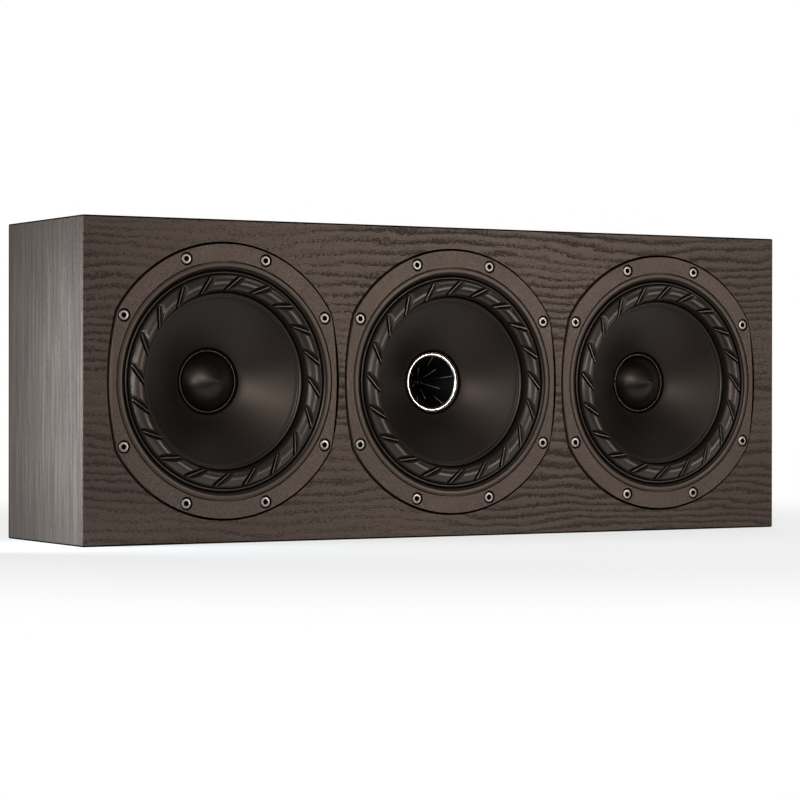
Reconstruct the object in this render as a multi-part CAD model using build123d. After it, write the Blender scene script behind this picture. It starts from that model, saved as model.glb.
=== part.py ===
from build123d import *
import os
from math import cos, radians, sin, sqrt

# Center channel speaker: three drivers side by side in a shallow closed cabinet.
# Millimetres, X to the right, front towards -Y, Z up.
# The origin is the middle of the cabinet's bottom face.

# Cone and fluted surround: radii grow outwards from the visible edge of the cone
cone_radius = 52.5
cone_height = 21.55
cone_wall = 1.0
cone_flare = 0.9
lip_width = 3.1
lip_depth = 5.0
lip_thickness = 0.6
glue_gap = 0.25
rubber = 0.8
roll_radius = 5.2
roll_base_depth = 0.8
bead_offset = 1.6
bead_width = 1.3
bead_top = 0.6
bead_height = 1.0
ledge_width = 4.5
flute_count = 20
flute_tilt = 53.0
flute_radius = 1.5
flute_depth = 2.0
flute_length = 18.0
flute_turns = {"left": 7.0, "centre": 1.0, "right": 3.5}

# Trim ring and flange
trim_width = 3.4
trim_thickness = 2.0
trim_bevel = 0.9
trim_gap = 0.4
trim_seat_margin = 0.4
flange_band = 10.4
flange_side_trim = 6.3
flange_corner_angle = 30.0
flange_thickness = 6.0
flange_proud = 1.2
side_bevel = 1.0
side_bevel_radius = 247.0

# Flange screws
screw_edge = 4.9
screw_angles = (20.0, 60.0)
screw_head_radius = 3.45
screw_head_height = 2.8
screw_head_sink = 0.4
screw_shank_radius = 2.0
screw_length = 12.0
screw_clearance = 0.15
socket_across_flats = 3.0
socket_depth = 1.7
counterbore_gap = 0.75

# Voice coil and suspension
coil_radius = 19.15
former_wall = 0.3
former_proud = 0.8
winding_gap = 0.03
winding_wall = 0.65
winding_overhang = 1.5
former_tail = 0.5
spider_drop = 6.2
spider_cloth = 0.6
spider_gap = 0.3
spider_flat = 4.3
spider_radius = 43.3
spider_collar = 2.6
spider_waves = 7
spider_wave_height = 1.0

# Basket
basket_wall = 3.4
basket_neck = 5.0
basket_neck_depth = 9.0
basket_ring = 3.0
basket_ring_bore = 30.0
basket_windows = 6
basket_window_angle = 40.0
basket_window_margin = 4.0
spider_room = 9.4

# Motor
plate_radius = 40.0
plate_thickness = 5.0
plate_gap = 0.6
magnet_bore = 25.0
magnet_radius = 43.0
magnet_thickness = 14.0
yoke_thickness = 5.0
pole_gap = 0.55

# Phase plug of the outer drivers
plug_gap = 0.65
plug_rim_proud = 0.4
plug_tip_height = 14.0
plug_bulge = 2.2

# High-frequency horn of the centre driver
horn_gap = 0.75
horn_mouth_sink = 0.6
horn_rim = 1.4
horn_length = 19.0
throat_radius = 4.6
horn_ring_height = 1.8
horn_ring_inset = 0.1
fin_count = 10
fin_thickness = 0.6
fin_first_angle = 14.0
fin_height = 1.9
short_fin_reach = 0.62
hub_radius = 2.0
hub_height = 2.5
hf_bore = 14.0
hf_fit = 0.3
hf_skirt_wall = 1.3
hf_skirt_length = 6.0
dome_rise = 2.8
dome_wall = 0.4
dome_rim = 2.2
hf_recess = 3.5
cover_radius = 30.0
cover_thickness = 12.0
cover_edge = 4.0

# Cabinet
flange_gap = 7.2
side_margin = 17.6
top_margin = 15.3
board = 16.0
inner_depth = 86.0
rear_board = 15.0
rebate_gap = 1.1
opening_gap = 1.5
brace_thickness = 15.0
brace_rim = 22.0
brace_corner = 16.0
pad_thickness = 12.0
pad_margin = 15.0

# Terminal cup, let into the rear board behind the left driver
cup_flange_width = 76.0
cup_flange_height = 60.0
cup_flange_thickness = 2.5
cup_rim = 9.0
cup_corner = 8.0
cup_depth = 21.0
cup_wall = 2.2
cup_fit = 0.4
cup_screw_inset = 4.6
cup_screw_head_radius = 2.9
cup_screw_head_height = 1.6
cup_screw_shank_radius = 1.4
cup_screw_length = 11.0

# Binding posts
post_spacing = 19.05
post_radius = 4.0
post_fit = 0.1
post_collar_radius = 6.2
post_collar_thickness = 2.5
post_recess = 3.0
post_tail = 9.0
socket_radius = 2.05
socket_length = 14.0
cap_radius = 7.0
cap_length = 12.0
cap_gap = 0.3
cap_groove_count = 12
cap_groove_radius = 0.9
nut_across_flats = 12.0
nut_thickness = 4.0

# Crossover board, on the rear board behind the right driver
circuit_width = 90.0
circuit_height = 108.0
circuit_thickness = 1.6
spacer_height = 6.0
spacer_radius = 3.0
spacer_inset = 5.0
spacer_peg_radius = 1.4
spacer_peg_height = 1.2
spacer_fit = 0.15
inductor_radius = 15.0
inductor_bore = 8.0
inductor_height = 12.0
capacitor_count = 3
capacitor_radius = 6.0
capacitor_length = 32.0
resistor_count = 3
resistor_length = 38.0
resistor_width = 9.0
resistor_height = 8.0
part_gap = 4.0

# Radii worked out from the cone outwards
roll_inner = cone_radius + lip_width
roll_centre = roll_inner + roll_radius
roll_outer = roll_centre + roll_radius
trim_inner = roll_outer + ledge_width
trim_outer = trim_inner + trim_width
recess_radius = trim_outer + trim_gap
flange_radius = recess_radius + flange_band
flange_half_width = flange_radius - flange_side_trim
screw_circle = flange_radius - screw_edge
counterbore_radius = screw_head_radius + counterbore_gap
former_radius = coil_radius + former_wall
horn_mouth_radius = coil_radius - horn_gap - horn_rim
winding_radius = former_radius + winding_gap + winding_wall
basket_neck_radius = roll_outer + basket_neck

# Depths behind the front of the flange
seat_depth = trim_thickness + rubber
counterbore_depth = screw_head_sink + screw_head_height
cone_edge_depth = lip_depth + lip_thickness + glue_gap
neck_depth = cone_edge_depth + cone_height
spider_seat = neck_depth + spider_drop
plate_depth = spider_seat + spider_room
magnet_depth = plate_depth + plate_thickness
yoke_depth = magnet_depth + magnet_thickness
yoke_back = yoke_depth + yoke_thickness
former_front = neck_depth - former_proud
winding_front = plate_depth - winding_overhang
winding_back = magnet_depth + winding_overhang
plug_rim_depth = neck_depth - plug_rim_proud
horn_mouth_depth = neck_depth + horn_mouth_sink
throat_depth = horn_mouth_depth + horn_length
skirt_end = throat_depth + hf_skirt_length

# Places in the cabinet
driver_spacing = 2 * flange_half_width + flange_gap
driver_places = {"left": -driver_spacing, "centre": 0.0, "right": driver_spacing}
cabinet_width = 2 * (driver_spacing + flange_half_width + side_margin)
cabinet_height = 2 * (flange_radius + top_margin)
cabinet_depth = board + inner_depth + rear_board
inner_width = cabinet_width - 2 * board
inner_height = cabinet_height - 2 * board
axis_height = cabinet_height / 2
baffle_front = -cabinet_depth / 2
baffle_back = baffle_front + board
rear_face = cabinet_depth / 2
rear_inside = rear_face - rear_board
flange_front = baffle_front - flange_proud


def turned(*corners):
    """Solid of revolution about the driver axis, from (radius, depth) corners."""
    return revolve(make_face(Polyline(*corners, close=True).edges()), Axis.Y)


def turned_curve(*edges):
    """Solid of revolution about the driver axis, from lines and arcs."""
    return revolve(make_face(edges), Axis.Y)


def ring(inner, outer, near, far):
    """Ring about the driver axis between two radii and two depths."""
    return turned((inner, near), (outer, near), (outer, far), (inner, far))


def prism(outline, near, far):
    """Outline across the driver axis, drawn out from one depth to another."""
    return extrude(Plane.XZ.offset(-near) * outline, amount=near - far)


def around(angle, radius):
    """Place on a circle about the driver axis, the angle counted clockwise from the top."""
    return (radius * sin(radians(angle)), radius * cos(radians(angle)))


def corner_spots(x, z):
    """Four places, mirrored left to right and top to bottom."""
    return [(x, z), (-x, z), (x, -z), (-x, -z)]


def screw_spots():
    """The eight screw places of one flange."""
    spots = []
    for angle in screw_angles:
        spots += corner_spots(*around(angle, screw_circle))
    return spots


def rods(spots, radius, near, far):
    """Round bars along the driver axis, one at each place."""
    return prism(Sketch() + [Pos(x, z) * Circle(radius) for x, z in spots], near, far)


def at_driver(name):
    """Location of a driver's axis at the front of its flange."""
    return Pos(driver_places[name], flange_front, axis_height)


def flange_outline(radius, half_width):
    """Circle whose left and right sides are trimmed to flatter arcs."""
    x = radius * cos(radians(flange_corner_angle))
    z = radius * sin(radians(flange_corner_angle))
    arcs = [
        ThreePointArc((x, z), (0, radius), (-x, z)),
        ThreePointArc((-x, z), (-half_width, 0), (-x, -z)),
        ThreePointArc((-x, -z), (0, -radius), (x, -z)),
        ThreePointArc((x, -z), (half_width, 0), (x, z)),
    ]
    return make_face(arcs)


def flange():
    """Flange plate; a slim bevel along each trimmed side dies out at its corners."""
    outline = flange_outline(flange_radius, flange_half_width)
    bevel_cone = turned(
        (0, 0),
        (side_bevel_radius, 0),
        (side_bevel_radius + side_bevel, flange_proud),
        (0, flange_proud),
    )
    shift = flange_half_width - side_bevel - side_bevel_radius
    front = prism(outline, 0, flange_proud)
    front = front & (Pos(shift, 0, 0) * bevel_cone)
    front = front & (Pos(-shift, 0, 0) * bevel_cone)
    plate = front + prism(outline, flange_proud, flange_thickness)
    plate -= rods(screw_spots(), counterbore_radius, 0, counterbore_depth)
    plate -= rods(screw_spots(), screw_shank_radius + screw_clearance, 0, flange_thickness)
    return plate - ring(0, recess_radius, 0, flange_thickness)


def basket():
    """Cast frame: flange, open conical wall, spider ledge and rear ring."""
    ledge_inner = spider_radius - spider_flat
    ledge_outer = spider_radius + spider_gap
    wall_top = spider_seat - spider_flat
    neck_end = basket_neck_depth + basket_wall
    shell = turned(
        (recess_radius, seat_depth),
        (roll_outer, seat_depth),
        (roll_outer, basket_neck_depth),
        (ledge_outer, wall_top),
        (ledge_outer, spider_seat),
        (ledge_inner, spider_seat),
        (ledge_inner, plate_depth - basket_ring),
        (basket_ring_bore, plate_depth - basket_ring),
        (basket_ring_bore, plate_depth),
        (ledge_outer + basket_wall, plate_depth),
        (ledge_outer + basket_wall, spider_seat),
        (basket_neck_radius, neck_end),
        (basket_neck_radius, flange_thickness),
        (recess_radius, flange_thickness),
    )
    half = basket_window_angle / 2
    wedge = make_face(
        Polyline(
            (0, 0),
            around(-half, flange_radius),
            around(half, flange_radius),
            close=True,
        ).edges()
    )
    window = prism(wedge, neck_end + basket_window_margin, wall_top)
    for step in range(basket_windows):
        shell -= Rot(0, step * 360 / basket_windows, 0) * window
    return flange() + shell


def trim_ring():
    """Flat ring in the flange's recess; its inner edge is bevelled down to the surround."""
    return turned(
        (trim_inner + trim_bevel, 0),
        (trim_outer, 0),
        (trim_outer, trim_thickness),
        (trim_inner, trim_thickness),
        (trim_inner, trim_bevel),
    )


def flute(radius):
    """Bar along a diagonal line over the top of the roll; the roll curves away at both its ends."""
    tilt = radians(flute_tilt)
    depth = roll_base_depth - roll_radius + flute_depth - flute_radius
    line = Plane(origin=(0, depth, roll_centre), z_dir=(sin(tilt), 0, cos(tilt)))
    return line * Cylinder(radius, flute_length)


def around_axis(shape, count):
    """Copies of a shape, evenly spaced about the driver axis."""
    return [Rot(0, step * 360 / count, 0) * shape for step in range(count)]


def surround():
    """Half-roll rubber surround with diagonal flutes, clamped flange and glued inner lip."""
    skin = roll_radius - rubber
    crest = roll_base_depth - roll_radius
    outer_edge = trim_outer - trim_seat_margin
    bead_centre = roll_outer + bead_offset
    foot = trim_thickness
    lip_back = lip_depth + lip_thickness
    top_arc = ThreePointArc(
        (roll_inner, roll_base_depth), (roll_centre, crest), (roll_outer, roll_base_depth)
    )
    under_arc = ThreePointArc(
        (roll_centre + skin, roll_base_depth),
        (roll_centre, crest + rubber),
        (roll_centre - skin, roll_base_depth),
    )
    inner_side = Polyline(
        (roll_centre - skin, roll_base_depth),
        (roll_centre - skin, lip_back),
        (cone_radius, lip_back),
        (cone_radius, lip_depth),
        (roll_inner, lip_depth),
        (roll_inner, roll_base_depth),
    )
    outer_side = Polyline(
        (roll_outer, roll_base_depth),
        (roll_outer, foot),
        (bead_centre - bead_width / 2, foot),
        (bead_centre - bead_top / 2, foot - bead_height),
        (bead_centre + bead_top / 2, foot - bead_height),
        (bead_centre + bead_width / 2, foot),
        (outer_edge, foot),
        (outer_edge, seat_depth),
        (roll_centre + skin, seat_depth),
        (roll_centre + skin, roll_base_depth),
    )
    shell = turned_curve(*inner_side.edges(), top_arc, *outer_side.edges(), under_arc)
    hollow = turned_curve(
        under_arc, Line((roll_centre - skin, roll_base_depth), (roll_centre + skin, roll_base_depth))
    )
    flute_back = hollow & flute(flute_radius + rubber)
    shell = shell + around_axis(flute_back, flute_count)
    return shell - around_axis(flute(flute_radius), flute_count)


def cone():
    """Slightly flared cone with a flat glued rim and a neck around the voice coil former."""
    rim = roll_inner - glue_gap
    inner = former_radius + winding_gap
    middle = (cone_radius + inner) / 2
    half_depth = (cone_edge_depth + neck_depth) / 2 - cone_flare
    back = cone_edge_depth + cone_wall
    front_arc = ThreePointArc(
        (cone_radius, cone_edge_depth), (middle, half_depth), (inner, neck_depth)
    )
    back_arc = ThreePointArc(
        (inner, neck_depth + cone_wall), (middle, half_depth + cone_wall), (cone_radius, back)
    )
    return turned_curve(
        front_arc,
        Line((inner, neck_depth), (inner, neck_depth + cone_wall)),
        back_arc,
        Line((cone_radius, back), (rim, back)),
        Line((rim, back), (rim, cone_edge_depth)),
        Line((rim, cone_edge_depth), (cone_radius, cone_edge_depth)),
    )


def coil_former():
    """Thin tube that joins the cone to the winding."""
    return ring(coil_radius, former_radius, former_front, winding_back + former_tail)


def coil_winding():
    """Copper layer on the back end of the former."""
    return ring(former_radius + winding_gap, winding_radius, winding_front, winding_back)


def spider():
    """Corrugated cloth disc between the basket's ledge and the former."""
    near = spider_seat - spider_cloth
    first = spider_radius - spider_flat
    last = former_radius + spider_gap + spider_collar
    pitch = (first - last) / spider_waves
    wave = [(first, 0)]
    for step in range(spider_waves):
        rise = spider_wave_height if step % 2 else -spider_wave_height
        wave.append((first - (step + 0.5) * pitch, rise))
    wave.append((last, 0))
    rim = (spider_radius, 0)
    collar = (former_radius + spider_gap, 0)
    line = [rim, *wave, collar]
    front = [(radius, near + rise) for radius, rise in line]
    back = [(radius, spider_seat + rise) for radius, rise in reversed(line)]
    return turned(*front, *back)


def top_plate():
    """Steel plate around the voice coil gap."""
    return ring(winding_radius + plate_gap, plate_radius, plate_depth, magnet_depth)


def magnet():
    """Ferrite ring magnet."""
    return ring(magnet_bore, magnet_radius, magnet_depth, yoke_depth)


def yoke(bore):
    """Back plate with the pole in one piece; the centre driver's is bored for its horn."""
    pole = coil_radius - pole_gap
    return turned(
        (bore, plate_depth),
        (pole, plate_depth),
        (pole, yoke_depth),
        (plate_radius, yoke_depth),
        (plate_radius, yoke_back),
        (bore, yoke_back),
    )


def phase_plug():
    """Pointed plug that stands on the pole."""
    rim = coil_radius - plug_gap
    tip = plug_rim_depth - plug_tip_height
    slant = sqrt(rim**2 + plug_tip_height**2)
    bulge = (
        rim / 2 + plug_bulge * plug_tip_height / slant,
        plug_rim_depth - plug_tip_height / 2 - plug_bulge * rim / slant,
    )
    return turned_curve(
        ThreePointArc((0, tip), bulge, (rim, plug_rim_depth)),
        *Polyline((rim, plug_rim_depth), (rim, plate_depth), (0, plate_depth), (0, tip)).edges(),
    )


def fin(reach):
    """Thin upright fin on the horn's wall, from the hub out to a share of the way to the mouth."""
    slope = (horn_mouth_radius - throat_radius) / horn_length
    depth = throat_depth - reach * horn_length
    radius = throat_radius + reach * horn_length * slope
    outline = Polyline(
        (radius, depth),
        (hub_radius / 2, throat_depth - fin_height),
        (hub_radius / 2, throat_depth + hub_height),
        (throat_radius + horn_rim / 2, throat_depth + hub_height),
        (throat_radius + horn_rim / 2, throat_depth),
        (radius + horn_rim / 2, depth),
        close=True,
    )
    return extrude(make_face(outline.edges()), amount=fin_thickness / 2, both=True)


def hf_horn():
    """Conical horn with long and short fins by turns, a hub in its throat and a clamping skirt."""
    body = horn_mouth_radius + horn_rim
    spigot = hf_bore - hf_fit
    horn = turned(
        (horn_mouth_radius, horn_mouth_depth),
        (body, horn_mouth_depth),
        (body, plate_depth),
        (spigot, plate_depth),
        (spigot, skirt_end),
        (spigot - hf_skirt_wall, skirt_end),
        (spigot - hf_skirt_wall, throat_depth + hub_height),
        (throat_radius, throat_depth + hub_height),
        (throat_radius, throat_depth),
    )
    horn += ring(0, hub_radius, throat_depth - fin_height / 2, throat_depth + hub_height)
    for step in range(fin_count):
        reach = short_fin_reach if step % 2 else 1.0
        horn += Rot(0, -fin_first_angle - step * 360 / fin_count, 0) * fin(reach)
    return horn


def hf_horn_ring():
    """Bright half-round ring on the rim of the horn."""
    inner = horn_mouth_radius - horn_ring_inset
    outer = horn_mouth_radius + horn_rim
    shoulder = horn_mouth_depth - horn_ring_height / 2
    return turned_curve(
        ThreePointArc(
            (inner, shoulder),
            ((inner + outer) / 2, horn_mouth_depth - horn_ring_height),
            (outer, shoulder),
        ),
        *Polyline(
            (outer, shoulder),
            (outer, horn_mouth_depth),
            (inner, horn_mouth_depth),
            (inner, shoulder),
        ).edges(),
    )


def hf_diaphragm():
    """Dome with a flat rim that the horn's skirt holds down."""
    rim = hf_bore - hf_fit
    edge = rim - dome_rim
    apex = skirt_end - dome_rise
    sphere = (edge**2 + dome_rise**2) / (2 * dome_rise)
    halfway = apex + sphere - sqrt(sphere**2 - edge**2 / 4)
    return turned_curve(
        ThreePointArc((0, apex), (edge / 2, halfway), (edge, skirt_end)),
        *Polyline(
            (edge, skirt_end),
            (rim, skirt_end),
            (rim, skirt_end + dome_wall),
            (edge, skirt_end + dome_wall),
        ).edges(),
        ThreePointArc(
            (edge, skirt_end + dome_wall),
            (edge / 2, halfway + dome_wall),
            (0, apex + dome_wall),
        ),
        Line((0, apex + dome_wall), (0, apex)),
    )


def hf_magnet():
    """Magnet of the dome, hollowed in front, in the bore of the yoke."""
    rim = hf_bore - hf_fit
    front = skirt_end + dome_wall
    return turned(
        (rim - dome_rim, front),
        (rim, front),
        (rim, yoke_back),
        (0, yoke_back),
        (0, front + hf_recess),
        (rim - dome_rim, front + hf_recess),
    )


def hf_rear_cover():
    """Round cover that closes the back of the yoke."""
    back = yoke_back + cover_thickness
    return turned(
        (0, yoke_back),
        (cover_radius, yoke_back),
        (cover_radius, back - cover_edge),
        (cover_radius - cover_edge, back),
        (0, back),
    )


def flange_screw():
    """Cap screw with a hexagon socket; its origin is the middle of the top of its head."""
    under_head = screw_head_height
    end = under_head + screw_length
    body = ring(0, screw_head_radius, 0, under_head) + ring(0, screw_shank_radius, under_head, end)
    socket = RegularPolygon(socket_across_flats / 2, 6, major_radius=False)
    return body - prism(socket, 0, socket_depth)


def driver_screws():
    """All flange screws of the three drivers."""
    screw = flange_screw()
    copies = []
    for name in driver_places:
        for x, z in screw_spots():
            copies.append(at_driver(name) * Pos(x, screw_head_sink, z) * screw)
    return Compound(children=copies)


def mitred_board(length):
    """Carcass board with its outer face down, mitred at its ends and along its front edge."""
    outer = Pos(0, cabinet_depth / 2) * Rectangle(length, cabinet_depth)
    inner_face = Rectangle(length - 2 * board, cabinet_depth - board)
    inner = Pos(0, (cabinet_depth + board) / 2, board) * inner_face
    return loft([outer, inner], ruled=True)


def front_baffle():
    """Front board, mitred all round, rebated and opened for the three drivers."""
    face = Plane.XZ.offset(-baffle_front) * Rectangle(cabinet_width, cabinet_height)
    back = Plane.XZ.offset(-baffle_back) * Rectangle(inner_width, inner_height)
    panel = Pos(0, 0, axis_height) * loft([face, back], ruled=True)
    rebate = flange_outline(flange_radius + rebate_gap, flange_half_width + rebate_gap)
    depth = flange_proud + board
    opening = prism(rebate, 0, flange_thickness)
    opening += ring(0, basket_neck_radius + opening_gap, 0, depth)
    opening += rods(screw_spots(), screw_shank_radius + screw_clearance, 0, depth)
    for name in driver_places:
        panel -= at_driver(name) * opening
    return panel


def at_cup():
    """Location of the terminal cup's middle on the rear face, behind the left driver."""
    return Pos(driver_places["left"], rear_face, axis_height)


def cup_screw_spots():
    """Places of the cup's screws, in the corners of its flange."""
    return corner_spots(
        cup_flange_width / 2 - cup_screw_inset, cup_flange_height / 2 - cup_screw_inset
    )


def post_places():
    """Distances of the two binding posts from the middle of the cup."""
    return {"red": -post_spacing / 2, "black": post_spacing / 2}


def cup_screw(gap):
    """Countersunk screw seen from behind; gap widens it all round into its own hole."""
    head = cup_screw_head_radius + gap
    shank = cup_screw_shank_radius + gap
    return turned(
        (0, 0),
        (head, 0),
        (shank, -cup_screw_head_height),
        (shank, -cup_screw_length - gap),
        (0, -cup_screw_length - gap),
    )


def rear_panel():
    """Rear board, flush between the carcass boards, opened for the terminal cup."""
    middle = (rear_inside + rear_face) / 2
    panel = Pos(0, middle, axis_height) * Box(inner_width, rear_board, inner_height)
    flange_pocket = RectangleRounded(
        cup_flange_width + 2 * cup_fit, cup_flange_height + 2 * cup_fit, cup_corner + cup_fit
    )
    dish = RectangleRounded(
        cup_flange_width - 2 * cup_rim + 2 * (cup_wall + cup_fit),
        cup_flange_height - 2 * cup_rim + 2 * (cup_wall + cup_fit),
        cup_corner + cup_wall + cup_fit,
    )
    opening = prism(flange_pocket, -cup_flange_thickness, 0) + prism(dish, -rear_board, 0)
    opening += [Pos(x, 0, z) * cup_screw(screw_clearance) for x, z in cup_screw_spots()]
    return panel - at_cup() * opening


def terminal_cup():
    """Moulded dish with a flush flange; the binding posts stand on its floor."""
    width = cup_flange_width - 2 * cup_rim
    height = cup_flange_height - 2 * cup_rim
    floor = cup_depth + cup_wall
    cup = prism(
        RectangleRounded(cup_flange_width, cup_flange_height, cup_corner), -cup_flange_thickness, 0
    )
    shell = RectangleRounded(width + 2 * cup_wall, height + 2 * cup_wall, cup_corner + cup_wall)
    cup += prism(shell, -floor, 0)
    cup -= prism(RectangleRounded(width, height, cup_corner), -cup_depth, 0)
    cup -= [Pos(x, 0, z) * cup_screw(screw_clearance) for x, z in cup_screw_spots()]
    posts = [(x, 0) for x in post_places().values()]
    return at_cup() * (cup - rods(posts, post_radius + post_fit, -floor, 0))


def cup_screws():
    """The four screws of the terminal cup, with a cross slot each."""
    slot = 2 * cup_screw_shank_radius
    blade = Box(slot, cup_screw_head_height, cup_screw_shank_radius / 2)
    screw = cup_screw(0) - blade - Rot(0, 90, 0) * blade
    copies = [at_cup() * Pos(x, 0, z) * screw for x, z in cup_screw_spots()]
    return Compound(children=copies)


def binding_post(place):
    """Plated post with a collar on the floor of the cup and a round plug socket in its end."""
    end = -post_recess
    inside = -cup_depth - cup_wall - post_tail
    post = ring(0, post_radius, inside, end)
    post += ring(0, post_collar_radius, -cup_depth, post_collar_thickness - cup_depth)
    post -= ring(0, socket_radius, end - socket_length, end)
    return at_cup() * Pos(place, 0, 0) * post


def post_cap(place):
    """Grooved cap that turns on the post."""
    near = post_collar_thickness - cup_depth + cap_gap
    cap = ring(post_radius + post_fit, cap_radius, near, near + cap_length)
    spots = [around(step * 360 / cap_groove_count, cap_radius) for step in range(cap_groove_count)]
    cap -= rods(spots, cap_groove_radius, near + cap_groove_radius, near + cap_length)
    return at_cup() * Pos(place, 0, 0) * cap


def post_nuts():
    """Hexagon nuts that hold the posts inside the cabinet."""
    hexagon = RegularPolygon(nut_across_flats / 2, 6, major_radius=False)
    hexagon -= Circle(post_radius + post_fit)
    far = -cup_depth - cup_wall
    nut = prism(hexagon, far - nut_thickness, far)
    return Compound(children=[at_cup() * Pos(x, 0, 0) * nut for x in post_places().values()])


def brace(side):
    """Upright board between two drivers, with a rounded window."""
    window = RectangleRounded(inner_depth - 2 * brace_rim, inner_height - 2 * brace_rim, brace_corner)
    outline = Rectangle(inner_depth, inner_height) - window
    plate = extrude(Plane.YZ * outline, amount=brace_thickness / 2, both=True)
    return Pos(side * driver_spacing / 2, (baffle_back + rear_inside) / 2, axis_height) * plate


def damping_pads():
    """Soft pads on the two inner end walls."""
    depth = inner_depth - 2 * pad_margin
    height = inner_height - 2 * pad_margin
    x = inner_width / 2 - pad_thickness / 2
    y = (baffle_back + rear_inside) / 2
    pad = Box(pad_thickness, depth, height)
    return Compound(children=[Pos(side * x, y, axis_height) * pad for side in (-1, 1)])


def at_circuit():
    """Location of the crossover board's middle on the inside of the rear board."""
    return Pos(driver_places["right"], rear_inside, axis_height)


def spacer_spots():
    """Places of the spacers, in the corners of the crossover board."""
    return corner_spots(circuit_width / 2 - spacer_inset, circuit_height / 2 - spacer_inset)


def crossover_board():
    """Circuit board of the crossover."""
    far = -spacer_height
    near = far - circuit_thickness
    plate = prism(Rectangle(circuit_width, circuit_height), near, far)
    return at_circuit() * (plate - rods(spacer_spots(), spacer_peg_radius + spacer_fit, near, far))


def board_spacers():
    """Four posts with pegs that carry the crossover board."""
    peg = -spacer_height - circuit_thickness - spacer_peg_height
    post = ring(0, spacer_radius, -spacer_height, 0) + ring(0, spacer_peg_radius, peg, -spacer_height)
    return Compound(children=[at_circuit() * Pos(x, 0, z) * post for x, z in spacer_spots()])


def on_circuit(shapes):
    """Parts set on the front of the crossover board, as separate solids."""
    face = Pos(0, -spacer_height - circuit_thickness, 0)
    return Compound(children=[at_circuit() * face * shape for shape in shapes])


def inductors():
    """Two air-cored coils in the upper half of the board."""
    coil = ring(inductor_bore, inductor_radius, -inductor_height, 0)
    x = inductor_radius + part_gap
    return on_circuit([Pos(side * x, 0, inductor_radius + part_gap) * coil for side in (-1, 1)])


def capacitors():
    """Film capacitors that lie side by side below the coils."""
    can = Rot(0, 90, 0) * Cylinder(capacitor_radius, capacitor_length)
    pitch = 2 * capacitor_radius + part_gap / 2
    x = -(capacitor_length + part_gap) / 2
    cans = []
    for step in range(capacitor_count):
        cans.append(Pos(x, -capacitor_radius, -capacitor_radius - step * pitch) * can)
    return on_circuit(cans)


def resistors():
    """Ceramic resistors beside the capacitors."""
    block = Box(resistor_length, resistor_height, resistor_width)
    pitch = resistor_width + part_gap
    x = (resistor_length + part_gap) / 2
    blocks = []
    for step in range(resistor_count):
        blocks.append(Pos(x, -resistor_height / 2, -resistor_width - step * pitch) * block)
    return on_circuit(blocks)


def driver_parts(name):
    """The pieces that every driver has, by node name."""
    bore = hf_bore if name == "centre" else 0.0
    shapes = {
        "basket": basket_shape,
        "trim_ring": trim_ring(),
        "surround": Rot(0, flute_turns[name], 0) * surround_shape,
        "cone": cone(),
        "coil_former": coil_former(),
        "coil_winding": coil_winding(),
        "spider": spider(),
        "top_plate": top_plate(),
        "magnet": magnet(),
        "yoke": yoke(bore),
    }
    return {name + "_" + piece: at_driver(name) * shape for piece, shape in shapes.items()}


basket_shape = basket()
surround_shape = surround()

nodes = {
    "front_baffle": front_baffle(),
    "bottom_panel": Pos(0, baffle_front, 0) * mitred_board(cabinet_width),
    "top_panel": Pos(0, baffle_front, cabinet_height) * Rot(0, 180, 0) * mitred_board(cabinet_width),
    "left_panel": Pos(-cabinet_width / 2, baffle_front, axis_height)
    * Rot(0, 90, 0)
    * mitred_board(cabinet_height),
    "right_panel": Pos(cabinet_width / 2, baffle_front, axis_height)
    * Rot(0, -90, 0)
    * mitred_board(cabinet_height),
    "rear_panel": rear_panel(),
    "left_brace": brace(-1),
    "right_brace": brace(1),
    "damping_pads": damping_pads(),
    "driver_screws": driver_screws(),
    "left_phase_plug": at_driver("left") * phase_plug(),
    "right_phase_plug": at_driver("right") * phase_plug(),
    "hf_horn": at_driver("centre") * hf_horn(),
    "hf_horn_ring": at_driver("centre") * hf_horn_ring(),
    "hf_diaphragm": at_driver("centre") * hf_diaphragm(),
    "hf_magnet": at_driver("centre") * hf_magnet(),
    "hf_rear_cover": at_driver("centre") * hf_rear_cover(),
    "terminal_cup": terminal_cup(),
    "terminal_cup_screws": cup_screws(),
    "post_nuts": post_nuts(),
    "crossover_board": crossover_board(),
    "board_spacers": board_spacers(),
    "crossover_inductors": inductors(),
    "crossover_capacitors": capacitors(),
    "crossover_resistors": resistors(),
}
for driver in driver_places:
    nodes.update(driver_parts(driver))
for colour, place in post_places().items():
    nodes[colour + "_post"] = binding_post(place)
    nodes[colour + "_cap"] = post_cap(place)

os.makedirs("parts", exist_ok=True)
for node, shape in nodes.items():
    export_step(shape, "parts/" + node + ".step")
print(len(nodes), "nodes", cabinet_width, "x", cabinet_depth, "x", cabinet_height, "mm")
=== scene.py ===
# %% [markdown]
# # Center channel speaker
# A shallow cabinet in dark oak foil carries three round drivers with fluted rubber surrounds. The middle one has a
# small horn in its cone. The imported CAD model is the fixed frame. It gives every place and size, and the pieces that
# are seen get finer shapes and real finishes here.

# %% Load the frame
import math

import bpy
from mathutils import Matrix, Vector


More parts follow.
